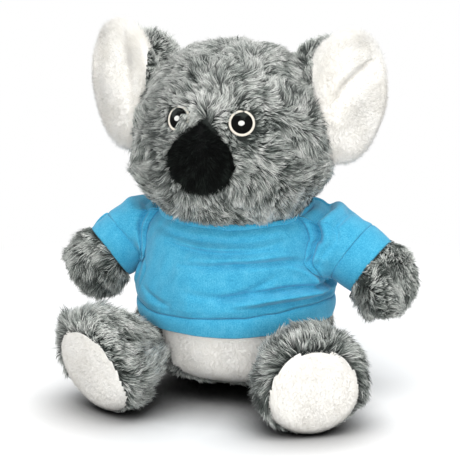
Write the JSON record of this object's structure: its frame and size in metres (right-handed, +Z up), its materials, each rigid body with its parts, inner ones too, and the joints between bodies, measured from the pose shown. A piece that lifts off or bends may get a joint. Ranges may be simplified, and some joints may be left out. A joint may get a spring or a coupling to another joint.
{
  "type": "plush koala",
  "caption": "Seated stuffed koala toy with white cupped ears, an embroidered face and a blue raglan shirt; its neck, arms, legs and ears flex at sewn joints.",
  "frame": {"origin": "Middle of the flat seat of the torso, straight below the neck.", "axes": "+Z up; the toy faces -Y; its own left side is at +X."},
  "size_m": [0.1492, 0.0898, 0.1461],
  "materials": {
    "grey_plush": "long frosted grey pile with darker roots",
    "white_pile": "short off-white pile",
    "black_plush": "short black pile",
    "black_thread": "satin embroidery thread",
    "white_thread": "satin embroidery thread",
    "jersey": "fine blue knit",
    "filling": "loose polyester fibre"
  },
  "bodies": {
    "torso": {"body_cover": "grey_plush", "belly_panel": "white_pile", "body_filling": "filling", "shirt_front": "jersey", "shirt_back": "jersey", "neckband": "jersey", "hem_band": "jersey", "sleeve_left": "jersey", "sleeve_right": "jersey"},
    "head": {"head_cover": "grey_plush", "head_filling": "filling", "nose": "black_plush", "eye_ring_left": "white_thread", "eye_black_left": "black_thread", "eye_glint_left": "white_thread", "eye_ring_right": "white_thread", "eye_black_right": "black_thread", "eye_glint_right": "white_thread"},
    "ear_left": {"ear_back_left": "grey_plush", "ear_front_left": "white_pile"},
    "ear_right": {"ear_back_right": "grey_plush", "ear_front_right": "white_pile"},
    "arm_left": {"arm_left": "grey_plush", "arm_filling_left": "filling", "cuff_left": "jersey"},
    "arm_right": {"arm_right": "grey_plush", "arm_filling_right": "filling", "cuff_right": "jersey"},
    "leg_left": {"leg_left": "grey_plush", "leg_filling_left": "filling", "sole_left": "white_pile"},
    "leg_right": {"leg_right": "grey_plush", "leg_filling_right": "filling", "sole_right": "white_pile"}
  },
  "joints": [
    {"name": "neck_turn", "type": "hinge", "parent": "torso", "child": "head", "pos_m": [0, -0.004, 0.072], "axis": [0, 0, 1], "range_deg": [-20, 20], "stiffness_Nm_per_rad": 0.02, "deforming": ["neckband"]},
    {"name": "ear_flex_left", "type": "hinge", "parent": "head", "child": "ear_left", "pos_m": [0.033, -0.001, 0.119], "axis": [-0.3746, 0, 0.9272], "range_deg": [-12, 12], "stiffness_Nm_per_rad": 0.004},
    {"name": "ear_flex_right", "type": "hinge", "parent": "head", "child": "ear_right", "pos_m": [-0.033, -0.001, 0.119], "axis": [0.3746, 0, 0.9272], "range_deg": [-12, 12], "stiffness_Nm_per_rad": 0.004},
    {"name": "shoulder_left", "type": "hinge", "parent": "torso", "child": "arm_left", "pos_m": [0.0365, 0, 0.064], "axis": [0, -1, 0], "range_deg": [0, 50], "stiffness_Nm_per_rad": 0.02, "deforming": ["sleeve_left"]},
    {"name": "shoulder_right", "type": "hinge", "parent": "torso", "child": "arm_right", "pos_m": [-0.0365, 0, 0.064], "axis": [0, 1, 0], "range_deg": [0, 50], "stiffness_Nm_per_rad": 0.02, "deforming": ["sleeve_right"]},
    {"name": "hip_left", "type": "hinge", "parent": "torso", "child": "leg_left", "pos_m": [0.0362, -0.0278, 0.0172], "axis": [-0.8616, -0.5075, 0], "range_deg": [-10, 20], "stiffness_Nm_per_rad": 0.03},
    {"name": "hip_right", "type": "hinge", "parent": "torso", "child": "leg_right", "pos_m": [-0.0362, -0.0278, 0.0172], "axis": [-0.8616, 0.5075, 0], "range_deg": [-10, 20], "stiffness_Nm_per_rad": 0.03}
  ]
}
